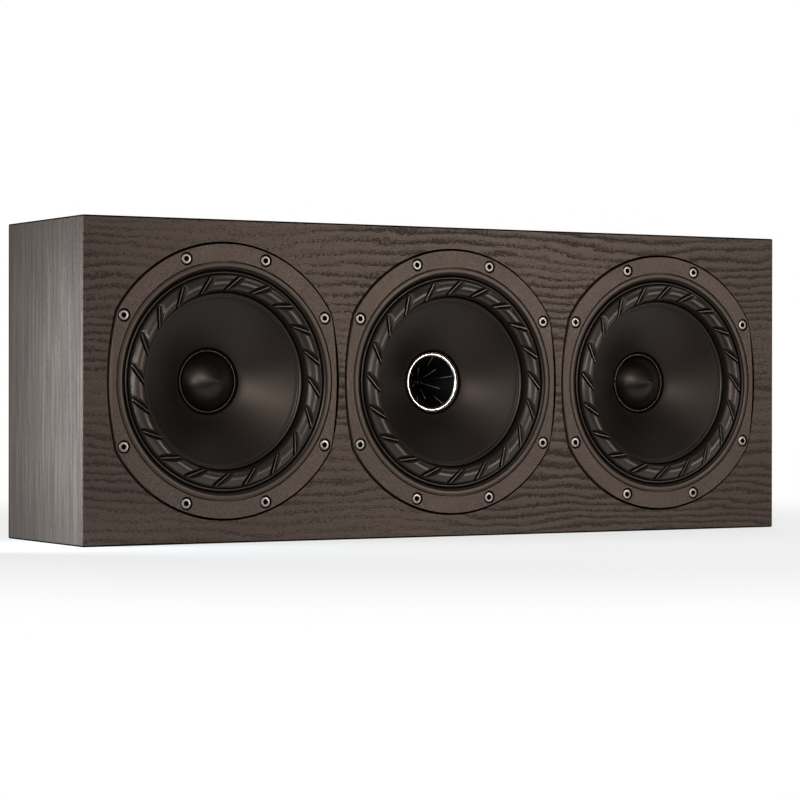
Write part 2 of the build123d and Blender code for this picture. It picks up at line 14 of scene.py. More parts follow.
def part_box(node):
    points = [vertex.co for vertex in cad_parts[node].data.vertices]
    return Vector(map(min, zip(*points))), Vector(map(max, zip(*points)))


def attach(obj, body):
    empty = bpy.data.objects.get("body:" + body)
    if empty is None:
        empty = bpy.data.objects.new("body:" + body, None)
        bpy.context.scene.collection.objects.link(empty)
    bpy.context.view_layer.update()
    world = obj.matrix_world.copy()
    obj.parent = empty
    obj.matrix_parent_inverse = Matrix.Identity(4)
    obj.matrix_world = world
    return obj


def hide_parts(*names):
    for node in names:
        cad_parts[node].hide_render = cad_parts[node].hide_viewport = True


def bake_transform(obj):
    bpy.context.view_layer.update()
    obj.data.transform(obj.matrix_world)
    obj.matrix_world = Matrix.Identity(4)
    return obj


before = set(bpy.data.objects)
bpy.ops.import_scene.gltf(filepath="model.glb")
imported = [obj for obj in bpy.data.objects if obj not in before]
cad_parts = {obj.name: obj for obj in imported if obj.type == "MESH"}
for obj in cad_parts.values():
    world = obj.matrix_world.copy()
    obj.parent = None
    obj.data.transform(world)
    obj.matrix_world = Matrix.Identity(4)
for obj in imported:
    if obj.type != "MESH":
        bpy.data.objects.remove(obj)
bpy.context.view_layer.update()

mm = 0.001

# %% [markdown]
# ## Where the drivers are
# Each driver is turned about its own axis, so every round piece is drawn about the origin as a radius and a depth
# behind the flange, and then carried to its driver. The CAD basket gives that place.

# %% Driver places
driver_place = {}
for driver in ("left", "centre", "right"):
    low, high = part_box(driver + "_basket")
    driver_place[driver] = Vector(((low[0] + high[0]) / 2, low[1], (low[2] + high[2]) / 2))
    print(driver, "driver at", tuple(round(c, 4) for c in driver_place[driver]))


# %% [markdown]
# ## Working by hand in code
# Operators act on whatever is selected. These helpers clear the selection, open a piece in edit mode, and pick its
# faces or edges by where they are, as a hand would with the mouse.

# %% Selection helpers
def clear_selection():
    if bpy.context.mode != "OBJECT":
        bpy.ops.object.mode_set(mode="OBJECT")
    bpy.ops.object.select_all(action="DESELECT")


def take(piece):
    """Makes a piece the only selected and active one."""
    clear_selection()
    piece.select_set(True)
    bpy.context.view_layer.objects.active = piece


def edit(piece, mode):
    """Opens a piece in edit mode with nothing selected; mode is VERT, EDGE or FACE."""
    take(piece)
    bpy.ops.object.mode_set(mode="EDIT")
    bpy.ops.mesh.select_mode(type=mode)
    bpy.ops.mesh.select_all(action="DESELECT")


def pick_faces(piece, wanted):
    """Selects the faces for which wanted(face) is true and goes on editing."""
    bpy.ops.object.mode_set(mode="OBJECT")
    for face in piece.data.polygons:
        face.select = bool(wanted(face))
    bpy.ops.object.mode_set(mode="EDIT")


def pick_edges(piece, wanted):
    """Selects the edges for which wanted(end, other_end) is true and goes on editing."""
    bpy.ops.object.mode_set(mode="OBJECT")
    points = [v.co.copy() for v in piece.data.vertices]
    for edge in piece.data.edges:
        edge.select = bool(wanted(points[edge.vertices[0]], points[edge.vertices[1]]))
    bpy.ops.object.mode_set(mode="EDIT")


def name_new(name):
    """Names the primitive that was just added and brings its place into its mesh."""
    piece = bpy.context.active_object
    piece.name = name
    piece.data.name = name
    bpy.ops.object.transform_apply(location=True, rotation=True, scale=True)
    return piece


def apply_boolean(piece, tool, operation):
    """Cuts a piece with a tool body, or keeps what they share, and removes the tool."""
    take(piece)
    cut = piece.modifiers.new("cut", "BOOLEAN")
    cut.operation = operation
    cut.solver = "EXACT"
    cut.object = tool
    bpy.ops.object.modifier_apply(modifier=cut.name)
    bpy.data.objects.remove(tool, do_unlink=True)


def copy_to(piece, name, place, turn=0.0):
    """A copy with its own mesh, turned about the driver axis and carried to its place."""
    take(piece)
    bpy.ops.object.duplicate()
    copy = bpy.context.active_object
    copy.name = name
    copy.data.name = name
    copy.data.transform(Matrix.Translation(place) @ Matrix.Rotation(math.radians(turn), 4, "Y"))
    return copy


def discard(piece):
    bpy.data.objects.remove(piece, do_unlink=True)


print("helpers ready")


# %% [markdown]
# ## Turning on a lathe
# Cones, rings and plugs are bodies of revolution. A vertex is extruded from point to point to draw half of the
# section, and Spin carries that line once around the driver axis. Doubles are merged where the spin closes and at the
# pole, and only then are the normals turned outwards. Two more helpers give the points of arcs and of bowed lines.

# %% Lathe helpers
def draw_section(name, points):
    """A chain of edges through (radius, depth) points in millimetres, above the driver axis."""
    clear_selection()
    bpy.ops.mesh.primitive_plane_add(size=mm)
    piece = name_new(name)
    edit(piece, "VERT")
    bpy.ops.mesh.select_all(action="SELECT")
    bpy.ops.mesh.merge(type="CENTER")
    spots = [Vector((0, depth * mm, radius * mm)) for radius, depth in points]
    bpy.ops.transform.translate(value=spots[0])
    for near, far in zip(spots, spots[1:]):
        bpy.ops.mesh.extrude_vertices_move(TRANSFORM_OT_translate={"value": far - near})
    return piece


def close_seams():
    bpy.ops.mesh.select_all(action="SELECT")
    bpy.ops.mesh.remove_doubles(threshold=0.002 * mm)
    bpy.ops.mesh.normals_make_consistent(inside=False)
    bpy.ops.object.mode_set(mode="OBJECT")


def lathe(name, points, steps, sharp=32):
    """A closed body of revolution; edges steeper than sharp degrees stay crisp."""
    piece = draw_section(name, points)
    bpy.ops.mesh.select_all(action="SELECT")
    bpy.ops.mesh.spin(steps=steps, angle=2 * math.pi, center=(0, 0, 0), axis=(0, 1, 0))
    close_seams()
    bpy.ops.object.shade_smooth_by_angle(angle=math.radians(sharp))
    print(name, len(piece.data.polygons), "faces")
    return piece


def arc(centre, radius, first, last, steps):
    """Points on a circle in the section; angles in degrees, 0 outwards and 90 to the front."""
    points = []
    for step in range(steps + 1):
        angle = math.radians(first + (last - first) * step / steps)
        points.append((centre[0] + radius * math.cos(angle), centre[1] - radius * math.sin(angle)))
    return points


def bowed(start, middle, end, steps):
    """Points on a smooth curve through three points of the section."""
    points = []
    for step in range(steps + 1):
        t = step / steps
        weights = ((1 - t) * (1 - 2 * t), 4 * t * (1 - t), t * (2 * t - 1))
        points.append(tuple(sum(w * p[k] for w, p in zip(weights, (start, middle, end))) for k in (0, 1)))
    return points


print("a quarter arc:", [tuple(round(c, 2) for c in point) for point in arc((0, 0), 1, 0, 90, 2)])

# %% [markdown]
# ## Patterns that several finishes share
# Two node groups hold the patterns. *Oak grain* gives ragged dark bands of pores that wander along the board. *Fine
# grit* gives the small speckle of powder coats, rubber and pulp. Each material places a group with its own values.

# %% Node helpers
def add(tree, kind, **values):
    """Adds a node; keyword names are properties, or input sockets with spaces as underscores."""
    node = tree.nodes.new(kind)
    for key, value in values.items():
        if hasattr(node, key):
            setattr(node, key, value)
        else:
            node.inputs[key.replace("_", " ")].default_value = value
    return node


def sums(tree, operation, *terms):
    """One Math node; each term is a socket or a number."""
    node = add(tree, "ShaderNodeMath", operation=operation)
    for socket, term in zip(node.inputs, terms):
        if isinstance(term, (int, float)):
            socket.default_value = term
        else:
            tree.links.new(term, socket)
    return node.outputs[0]


def remap(tree, value, low, high, new_low=0.0, new_high=1.0):
    """Smooth step of a value from one range to another."""
    node = add(tree, "ShaderNodeMapRange", interpolation_type="SMOOTHSTEP")
    for socket, term in zip(list(node.inputs)[1:5], (low, high, new_low, new_high)):
        socket.default_value = term
    tree.links.new(value, node.inputs[0])
    return node.outputs[0]


def noise(tree, vector, stretch, detail=2.0, roughness=0.5):
    """Noise stretched along the axes; stretch is cells per metre along X, Y and Z."""
    mapping = add(tree, "ShaderNodeMapping")
    mapping.inputs["Scale"].default_value = stretch
    tree.links.new(vector, mapping.inputs["Vector"])
    node = add(tree, "ShaderNodeTexNoise", Scale=1.0, Detail=detail, Roughness=roughness)
    tree.links.new(mapping.outputs[0], node.inputs["Vector"])
    return node.outputs["Fac"]


def new_group(name, inputs, outputs):
    """Empty shader group; inputs are (name, socket kind, start value), outputs are names of values."""
    tree = bpy.data.node_groups.new(name, "ShaderNodeTree")
    for label, kind, start in inputs:
        socket = tree.interface.new_socket(label, in_out="INPUT", socket_type=kind)
        if start is not None:
            socket.default_value = start
    for label in outputs:
        tree.interface.new_socket(label, in_out="OUTPUT", socket_type="NodeSocketFloat")
    return tree, tree.nodes.new("NodeGroupInput"), tree.nodes.new("NodeGroupOutput")


print("node helpers ready")


# %% [markdown]
# Oak grain is built like the wood: growth rings are lines across the board, a slow drift and a ripple make them
# wander, and fine noise frays them. Pores crowd into the early half of each ring, more in some stretches than others.

# %% Oak grain group
def make_oak_grain():
    tree, given, result = new_group(
        "oak grain",
        [
            ("Vector", "NodeSocketVector", None),
            ("Spacing", "NodeSocketFloat", 0.009),
            ("Wander", "NodeSocketFloat", 0.02),
        ],
        ("Pores", "Tone", "Height"),
    )
    vector = given.outputs["Vector"]
    split = add(tree, "ShaderNodeSeparateXYZ")
    tree.links.new(vector, split.inputs[0])
    drift = sums(tree, "SUBTRACT", noise(tree, vector, (4.5, 13.0, 13.0), 2.0), 0.5)
    ripple = sums(tree, "SUBTRACT", noise(tree, vector, (38.0, 90.0, 90.0), 2.0), 0.5)
    drift = sums(tree, "MULTIPLY", sums(tree, "MULTIPLY_ADD", ripple, 0.2, drift), given.outputs["Wander"])
    across = sums(tree, "MULTIPLY_ADD", split.outputs[1], 0.7, split.outputs[2])
    fray = sums(tree, "SUBTRACT", noise(tree, vector, (420.0, 800.0, 800.0), 2.0), 0.5)
    across = sums(tree, "MULTIPLY_ADD", fray, 0.0042, sums(tree, "ADD", across, drift))
    ring = sums(tree, "FRACT", sums(tree, "DIVIDE", across, given.outputs["Spacing"]))
    early_wood = remap(tree, ring, 0.02, 0.7, 1.0, 0.0)
    presence = remap(tree, noise(tree, vector, (5.0, 22.0, 22.0), 2.0), 0.36, 0.62, 0.28, 1.0)
    dashes = noise(tree, vector, (560.0, 1900.0, 1900.0), 2.0, 0.6)
    density = sums(tree, "MULTIPLY", early_wood, presence)
    pores = remap(tree, sums(tree, "MULTIPLY_ADD", density, 0.26, dashes), 0.575, 0.7)
    tone = noise(tree, vector, (16.0, 420.0, 420.0), 3.0, 0.6)
    tree.links.new(pores, result.inputs["Pores"])
    tree.links.new(tone, result.inputs["Tone"])
    tree.links.new(sums(tree, "SUBTRACT", dashes, pores), result.inputs["Height"])
    return tree


oak_grain = make_oak_grain()
print(oak_grain.name, "has", len(oak_grain.nodes), "nodes")


# %% [markdown]
# Grit is plain noise at the size of one grain. A broad cloud beside it lets a finish vary over a few centimetres.

# %% Fine grit group
def make_fine_grit():
    tree, given, result = new_group(
        "fine grit",
        [("Vector", "NodeSocketVector", None), ("Grain size", "NodeSocketFloat", 0.0008)],
        ("Speck", "Cloud", "Height"),
    )
    scale = add(tree, "ShaderNodeVectorMath", operation="SCALE")
    tree.links.new(given.outputs["Vector"], scale.inputs[0])
    tree.links.new(sums(tree, "DIVIDE", 1.0, given.outputs["Grain size"]), scale.inputs["Scale"])
    fine = add(tree, "ShaderNodeTexNoise", Scale=1.0, Detail=2.0, Roughness=0.6)
    tree.links.new(scale.outputs[0], fine.inputs["Vector"])
    cloud = noise(tree, given.outputs["Vector"], (28.0, 28.0, 28.0), 2.0)
    tree.links.new(remap(tree, fine.outputs["Fac"], 0.3, 0.7), result.inputs["Speck"])
    tree.links.new(cloud, result.inputs["Cloud"])
    tree.links.new(fine.outputs["Fac"], result.inputs["Height"])
    return tree


fine_grit = make_fine_grit()
print(fine_grit.name, "has", len(fine_grit.nodes), "nodes")


# %% [markdown]
# ## Oak foil
# A finish starts as a new material with its constants set on the Principled shader, and a group is then placed in it.
# The cabinet is wrapped in an embossed dark oak foil. Its grain runs along the length on the front, top and bottom,
# and upright on the two ends, so the ends turn the pattern with a Mapping node. The pores are darker, rougher and a
# little lower than the wood between them.

# %% Oak foil materials
def new_finish(name, **constants):
    """A material whose Principled sockets take the given constants; returns it with its tree and shader."""
    material = bpy.data.materials.new(name)
    material.use_nodes = True
    tree = material.node_tree
    shader = tree.nodes["Principled BSDF"]
    for key, value in constants.items():
        shader.inputs[key.replace("_", " ")].default_value = value
    return material, tree, shader


def place_group(tree, group, turn=(0, 0, 0), **values):
    """Puts a group into a material, fed with Object coordinates."""
    where = add(tree, "ShaderNodeTexCoord")
    mapping = add(tree, "ShaderNodeMapping")
    mapping.inputs["Rotation"].default_value = turn
    tree.links.new(where.outputs["Object"], mapping.inputs["Vector"])
    node = add(tree, "ShaderNodeGroup", node_tree=group)
    tree.links.new(mapping.outputs[0], node.inputs["Vector"])
    for key, value in values.items():
        node.inputs[key.replace("_", " ")].default_value = value
    return node


def blend_colours(tree, share, first, second):
    """Mix of two colours; either may be a socket."""
    node = add(tree, "ShaderNodeMix", data_type="RGBA")
    for socket, colour in zip((node.inputs[6], node.inputs[7]), (first, second)):
        if isinstance(colour, tuple):
            socket.default_value = (*colour, 1.0)
        else:
            tree.links.new(colour, socket)
    tree.links.new(share, node.inputs[0])
    return node.outputs[2]


def emboss(tree, shader, height, strength, distance):
    """A Bump node between a height and the shader's Normal."""
    bump = add(tree, "ShaderNodeBump", Strength=strength, Distance=distance)
    tree.links.new(height, bump.inputs["Height"])
    tree.links.new(bump.outputs[0], shader.inputs["Normal"])


warm_sheen = (1.0, 0.84, 0.74, 1.0)
wood_roughness = 0.36


def oak_foil(name, pale, dark, turn, spacing, wander, pore_roughness, streak, relief):
    """Foil with its grain turned; streak darkens the stripes between pores, relief is the depth of the emboss."""
    material, tree, shader = new_finish(name, Specular_IOR_Level=0.3, Specular_Tint=warm_sheen)
    grain = place_group(tree, oak_grain, turn, Spacing=spacing, Wander=wander)
    shade = remap(tree, grain.outputs["Tone"], 0.38, 0.62)
    wood = blend_colours(tree, shade, pale, tuple(streak * c for c in pale))
    colour = blend_colours(tree, grain.outputs["Pores"], wood, dark)
    tree.links.new(colour, shader.inputs["Base Color"])
    rough = remap(tree, grain.outputs["Pores"], 0.0, 1.0, wood_roughness, pore_roughness)
    tree.links.new(rough, shader.inputs["Roughness"])
    height = sums(tree, "MULTIPLY_ADD", grain.outputs["Tone"], 2.0, grain.outputs["Height"])
    emboss(tree, shader, height, 0.5, relief)
    return material


oak_pale, oak_dark, oak_mid = (0.045, 0.0318, 0.0252), (0.011, 0.0072, 0.0056), (0.028, 0.02, 0.0165)
lying, upright = (0, 0, 0), (0, math.radians(90), 0)
oak_along = oak_foil("oak foil along", oak_pale, oak_dark, lying, 0.006, 0.042, 0.55, 0.85, 0.1 * mm)
oak_upright = oak_foil("oak foil upright", oak_pale, oak_mid, upright, 0.0036, 0.005, 0.42, 0.45, 0.2 * mm)
print("made", oak_along.name, "and", oak_upright.name)


# %% [markdown]
# ## Coated, moulded and soft finishes
# The other finishes are one recipe with different values: a colour that the grit mottles, a roughness that follows
# it, and a low bump. Coarse grit reads as a powder coat, fine grit as rubber or pulp.

# %% Grit finish recipe
def gritty(name, colour, roughness, grain, mottle=0.25, bump=0.2, **constants):
    """Finish with a speckle of the given grain size in metres; mottle is how much the colour varies."""
    material, tree, shader = new_finish(name, **constants)
    grit = place_group(tree, fine_grit, Grain_size=grain)
    lighter = tuple(c * (1 + mottle) for c in colour)
    darker = tuple(c * (1 - mottle) for c in colour)
    tree.links.new(blend_colours(tree, grit.outputs["Speck"], darker, lighter), shader.inputs["Base Color"])
    spread = 0.08 * roughness
    rough = remap(tree, grit.outputs["Cloud"], 0.3, 0.7, roughness - spread, roughness + spread)
    tree.links.new(rough, shader.inputs["Roughness"])
    emboss(tree, shader, grit.outputs["Height"], bump, 0.5 * grain)
    return material


def warm(level):
    """Specular level with the warm tint that the brown and black front finishes share."""
    return {"Specular_IOR_Level": level, "Specular_Tint": warm_sheen}


flange_coat = gritty("textured flange coat", oak_pale, 0.3, 0.0007, 0.6, 0.5, **warm(0.32))
trim_coat = gritty("satin trim coat", (0.036, 0.0255, 0.02), 0.34, 0.0006, 0.12, 0.1, **warm(0.3))
surround_rubber = gritty("surround rubber", (0.01, 0.0078, 0.0067), 0.36, 0.0004, 0.15, 0.05, **warm(0.58))
cone_pulp = gritty("black cone pulp", (0.006, 0.0044, 0.0036), 0.4, 0.0005, 0.2, 0.1, **warm(0.42))
plug_satin = gritty("satin plug", (0.0016, 0.0013, 0.0011), 0.36, 0.0005, 0.15, 0.05, **warm(0.42))
horn_black = gritty("matt horn", (0.002, 0.0019, 0.0018), 0.4, 0.0004, 0.2, 0.05, Specular_IOR_Level=0.15)
# Light grey on the black fins' front edges and the hub ring: painted highlights.
painted_fin_highlight = gritty("painted fin highlight grey", (0.16, 0.156, 0.15), 0.25, 0.0004, 0.1, 0.02, Specular_IOR_Level=0.6)
screw_zinc = gritty("zinc screw", (0.24, 0.222, 0.205), 0.36, 0.0003, 0.08, 0.05, Metallic=1.0)
# Near black painted onto the seams, the cone's neck, the screw sockets and the ring round each screw head: painted
# shade.
painted_shade_black = gritty("painted shade black", (0.0022, 0.0017, 0.0014), 0.85, 0.0005, 0.25, 0.1, Specular_IOR_Level=0.04)
ring_plate = gritty("bright ring plating", (0.75, 0.74, 0.73), 0.12, 0.002, 0.02, 0.0, Metallic=1.0)
former_film = gritty("bronze former", (0.085, 0.064, 0.054), 0.36, 0.0006, 0.12, 0.05, Metallic=1.0)
# Near black for the dark creases, the rear strip and the cut board edges; in the rebate gap it is painted shade.
board_edge_and_gap_shade = gritty("black board edge and gap shade", (0.002, 0.0017, 0.0015), 0.9, 0.0012, 0.3, 0.2, Specular_IOR_Level=0.02)
print(len(bpy.data.materials), "materials so far")


# %% [markdown]
# ## Cabinet
# The real carcass is five boards with mitred corners under one foil, so no joint shows and the corners are barely
# softened. One box gives that: the back is inset and pushed in to leave the board thickness, and the outer arrises
# get a small bevel. A bisect near the back marks off the thin dark strip where the foil ends.

# %% Cabinet box
board, arris_bevel, rear_edging = 16 * mm, 1.0 * mm, 1.8 * mm
box_low, box_high = Vector(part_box("bottom_panel")[0]), Vector(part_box("top_panel")[1])
clear_selection()
bpy.ops.mesh.primitive_cube_add(size=1, location=(box_low + box_high) / 2, scale=box_high - box_low)
cabinet = name_new("cabinet")
edit(cabinet, "FACE")
pick_faces(cabinet, lambda face: face.normal.y > 0.9)
bpy.ops.mesh.inset(thickness=board)
bpy.ops.mesh.extrude_region_move(TRANSFORM_OT_translate={"value": (0, board - (box_high.y - box_low.y), 0)})


def on_arris(point):
    """How many outer planes of the cabinet a point lies on."""
    return sum(min(abs(point[k] - box_low[k]), abs(point[k] - box_high[k])) < 0.01 * mm for k in range(3))


bpy.ops.mesh.select_mode(type="EDGE")
pick_edges(cabinet, lambda a, b: on_arris(a) == 3 and on_arris(b) == 3)
bpy.ops.mesh.bevel(offset=arris_bevel, segments=3, affect="EDGES")
bpy.ops.mesh.select_all(action="SELECT")
bpy.ops.mesh.bisect(plane_co=(0, box_high.y - rear_edging, 0), plane_no=(0, 1, 0))
bpy.ops.object.mode_set(mode="OBJECT")
print("cabinet", tuple(round(c, 3) for c in box_high - box_low), len(cabinet.data.polygons), "faces")


# %% [markdown]
# The flange is a circle whose two sides are trimmed to flatter arcs. The cutter is made the same way: a round disc
# keeps only what it shares with two much larger discs, and then cuts the rebate. A plain cylinder cuts the opening.

# %% Driver openings
def disc(name, radius, near, far, shift=0.0, sides=256):
    """A round bar along the driver axis between two depths, in millimetres."""
    clear_selection()
    bpy.ops.mesh.primitive_cylinder_add(
        vertices=sides,
        radius=radius * mm,
        depth=(far - near) * mm,
        location=(shift * mm, (near + far) / 2 * mm, 0),
        rotation=(math.radians(90), 0, 0),
    )
    return name_new(name)


rebate_radius, rebate_half_width, rebate_floor = 86.2, 79.9, 6.0
opening_radius, board_back = 72.5, 18.0
corner_x = rebate_radius * math.cos(math.radians(30))
corner_z = rebate_radius * math.sin(math.radians(30))
sagitta = rebate_half_width - corner_x
side_radius = (corner_z**2 + sagitta**2) / (2 * sagitta)
for driver, place in driver_place.items():
    rebate = disc("rebate cutter", rebate_radius, -5, rebate_floor)
    for side in (-1, 1):
        shift = side * (side_radius - rebate_half_width)
        apply_boolean(rebate, disc("side trimmer", side_radius, -6, rebate_floor + 1, shift), "INTERSECT")
    for tool in (rebate, disc("opening cutter", opening_radius, -5, board_back)):
        tool.data.transform(Matrix.Translation(place))
        apply_boolean(cabinet, tool, "DIFFERENCE")
print("cabinet with openings", len(cabinet.data.polygons), "faces")

# %% [markdown]
# The foil runs along the front, the top and the bottom, and upright on the two ends. Where it is folded over an arris
# the crease is dark, and so are the strip at the rear and the cut edges of the board in the driver openings. The black
# of those cut edges is also painted shade for the narrow rebate gap round each flange.

# %% Cabinet finish
along_foil, upright_foil, dark_edge = range(3)
for material in (oak_along, oak_upright, board_edge_and_gap_shade):
    cabinet.data.materials.append(material)
skin, end_facing, leaning = 1.05 * mm, 0.72, 0.2
for face in cabinet.data.polygons:
    middle = face.center
    on_end = min(middle.x - box_low.x, box_high.x - middle.x) < skin and abs(face.normal.x) > end_facing
    on_face = middle.y - box_low.y < skin or min(middle.z - box_low.z, box_high.z - middle.z) < skin
    leans = [abs(part) > leaning for part in face.normal]
    folded = sum(leans) > 1 and (leans[2] or face.normal.y > 0)
    on_back = face.normal.y > 0.9 and middle.y > box_high.y - 0.1 * mm
    at_rear = middle.y > box_high.y - rear_edging
    if on_back:
        face.material_index = upright_foil if abs(middle.x) > box_high.x - board else along_foil
    elif folded or at_rear:
        face.material_index = dark_edge
    elif on_end:
        face.material_index = upright_foil
    else:
        face.material_index = along_foil if on_face else dark_edge
counts = [sum(face.material_index == k for face in cabinet.data.polygons) for k in range(3)]
print("faces along the grain, upright and dark", counts)
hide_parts("front_baffle", "top_panel", "bottom_panel", "left_panel", "right_panel")
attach(cabinet, "cabinet")


# %% [markdown]
# ## Fluted surround
# The rubber half roll has twenty slanting flutes. Each is a V-shaped groove across the roll with a straight fine rib
# on its floor. One pitch of 18 degrees is drawn first: the section is spun in fine steps where the flute will be and
# in wide steps beside it. The section also has a bead on the lip that holds the cone, a smaller bead outside the
# roll and the flat edge that the trim ring clamps.

# %% Surround section
roll_middle, roll_base, roll_radius, rubber = 60.8, 0.8, 5.2, 0.8
lip_edge, lip_back, clamped_edge, clamp_front, clamp_back = 52.5, 5.6, 73.5, 2.05, 2.8
lip_middle, lip_base, lip_half_width, lip_rise, lip_steps = 54.1, 5.35, 1.2, 1.7, 8
bead_middle, bead_base, bead_radius = 67.2, 2.0, 0.7
roll_in, roll_out = roll_middle - roll_radius, roll_middle + roll_radius
roll_section = [(lip_edge, lip_back)]
for step in range(lip_steps + 1):
    turn = math.pi * (lip_steps - step) / lip_steps
    roll_section.append((lip_middle + lip_half_width * math.cos(turn), lip_base - lip_rise * math.sin(turn)))
roll_section += [(55.4, lip_base), (roll_in - 0.08, 5.2), (roll_in, 4.9)]
roll_section += [(roll_in, depth) for depth in (4.2, 3.4, 2.4, 1.6)]
roll_section += arc((roll_middle, roll_base), roll_radius, 180, 0, 32)
roll_section += [(roll_out, 1.4), (roll_out + 0.15, 1.85), (roll_out + 0.5, bead_base)]
roll_section += arc((bead_middle, bead_base), bead_radius, 180, 0, 8)
roll_section += [(68.1, 2.05), (68.35, 1.9), (69.2, 1.35), (70.0, 0.8), (70.2, 0.72), (70.36, 0.8), (70.42, 1.0)]
roll_section += [(70.42, clamp_front), (clamped_edge, clamp_front), (clamped_edge, clamp_back)]
roll_section += [(roll_out - rubber, clamp_back)]
roll_section += arc((roll_middle, roll_base), roll_radius - rubber, 0, 180, 10)
roll_section += [(roll_in + rubber, 3.4), (roll_in + rubber, lip_back), (lip_edge, lip_back)]
flutes = 20
pitch = math.radians(360 / flutes)
flute_zone, flute_steps, plain_steps = math.radians(9.2), 48, 4
clockwise = (0, -1, 0)
surround = draw_section("surround", roll_section)
bpy.ops.mesh.select_all(action="SELECT")
bpy.ops.mesh.spin(steps=flute_steps, angle=flute_zone, center=(0, 0, 0), axis=clockwise)
bpy.ops.mesh.spin(steps=plain_steps, angle=pitch - flute_zone, center=(0, 0, 0), axis=clockwise)
close_seams()
print("surround pitch", len(surround.data.polygons), "faces")

# %% [markdown]
# Now the flute is pressed in: points of the roll that lie ahead of the groove's surface drop onto it. The points are
# then leaned along the flute's slanting line, and Spin with copies repeats the pitch around the driver. The narrow
# seams on both sides of the roll hold no light, so their faces are painted black as shade.

# %% Flutes
flute_slant = math.radians(48.5)
flute_floor, rib_top, rib_half, rib_foot, wall_rise = 1.2, 3.3, 0.3, 0.5, 1.75


def flute_angle(radius):
    """Angle of the slanting line at a radius; it crosses the middle of the roll at angle 0."""
    radius = min(max(radius, roll_in), roll_out)
    lean = roll_middle * math.cos(flute_slant)
    along = math.sqrt(lean**2 - roll_middle**2 + radius**2) - lean
    return math.atan2(along * math.sin(flute_slant), roll_middle + along * math.cos(flute_slant))


def fluted(radius, angle, depth):
    """Depth of a point of the roll once a flute is pressed in: a V with a straight floor and a fine rib along it."""
    across = abs(angle) * roll_middle * math.cos(flute_slant)
    height = rib_top if across < rib_half else flute_floor + wall_rise * max(0.0, across - rib_foot)
    inside = math.hypot(radius - roll_middle, depth - roll_base) < roll_radius - rubber / 2
    return max(depth, roll_base - height + (1.5 * rubber if inside else 0.0))


for vertex in surround.data.vertices:
    radius = math.hypot(vertex.co.x, vertex.co.z) / mm
    depth = vertex.co.y / mm
    angle = math.atan2(vertex.co.x, vertex.co.z) - flute_zone / 2
    lean = flute_angle(radius)
    if depth < roll_base and roll_in - 0.1 < radius < roll_out + 0.1:
        depth = fluted(radius, angle, depth)
    turned = angle + lean
    vertex.co = Vector((radius * math.sin(turned), depth, radius * math.cos(turned))) * mm
edit(surround, "VERT")
bpy.ops.mesh.select_all(action="SELECT")
bpy.ops.mesh.spin(steps=flutes - 1, dupli=True, angle=2 * math.pi - pitch, center=(0, 0, 0), axis=clockwise)
close_seams()
bpy.ops.object.shade_smooth_by_angle(angle=math.radians(30))
inner_shade_band, outer_shade_bands = (55.0, 55.7), ((roll_out - 0.1, 66.7), (67.8, 69.4))
inner_shade_front, outer_shade_front = 4.4, 1.0
for material in (surround_rubber, painted_shade_black):
    surround.data.materials.append(material)
# Faces in the narrow bands by the lip and by the bead are painted black: painted shade.
for face in surround.data.polygons:
    radius, depth = math.hypot(face.center.x, face.center.z) / mm, face.center.y / mm
    shade_by_lip = inner_shade_band[0] < radius < inner_shade_band[1] and depth > inner_shade_front
    shade_by_bead = depth > outer_shade_front and any(near < radius < far for near, far in outer_shade_bands)
    face.material_index = 1 if shade_by_lip or shade_by_bead else 0
print("surround", len(surround.data.polygons), "faces")

# %% [markdown]
# Each driver gets its own copy, turned as it was mounted. The outer edge is clamped to the cabinet and the lip moves
# with the cone.

# %% Surrounds on their drivers
flute_turn = {"left": 3.8, "centre": -0.5, "right": 0.7}
for driver, place in driver_place.items():
    piece = copy_to(surround, driver + "_fluted_surround", place, flute_turn[driver])
    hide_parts(driver + "_surround")
    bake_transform(piece)
discard(surround)
print("surround turns in degrees", flute_turn)


# %% [markdown]
# ## Cones, plugs and trim
# The cone is a thin flared shell with a flat rim under the surround's lip. The outer drivers have a pointed plug on
# the pole, and every flange has a flat trim ring around the surround. All are turned, with small rounded edges where
# light would catch them.

# %% Cones
neck_radius, neck_depth, cone_edge_depth, cone_wall = 19.48, 27.4, 5.85, 1.0
rim_radius, neck_shade_radius = 55.35, 20.4
cone_front = bowed((lip_edge, cone_edge_depth), (35.99, 15.725), (neck_radius, neck_depth), 18)
cone_back = [(radius, depth + cone_wall) for radius, depth in reversed(cone_front)]
cone_rim = [(rim_radius, cone_edge_depth + cone_wall), (rim_radius, cone_edge_depth), (lip_edge, cone_edge_depth)]
cone = lathe("cone", cone_front + cone_back + cone_rim, 144)
for material in (cone_pulp, painted_shade_black):
    cone.data.materials.append(material)
# Faces inside the neck shade radius are painted black: painted shade in the deep neck round the coil.
for face in cone.data.polygons:
    face.material_index = 1 if math.hypot(face.center.x, face.center.z) < neck_shade_radius * mm else 0

# %% [markdown]
# The pulp is doped with a matt coat near the coil, so the neck is rougher and goes darker. A mesh attribute that falls
# from 1 at the edge of the painted neck shade to 0 further out is added to the roughness; it moves with the cone.

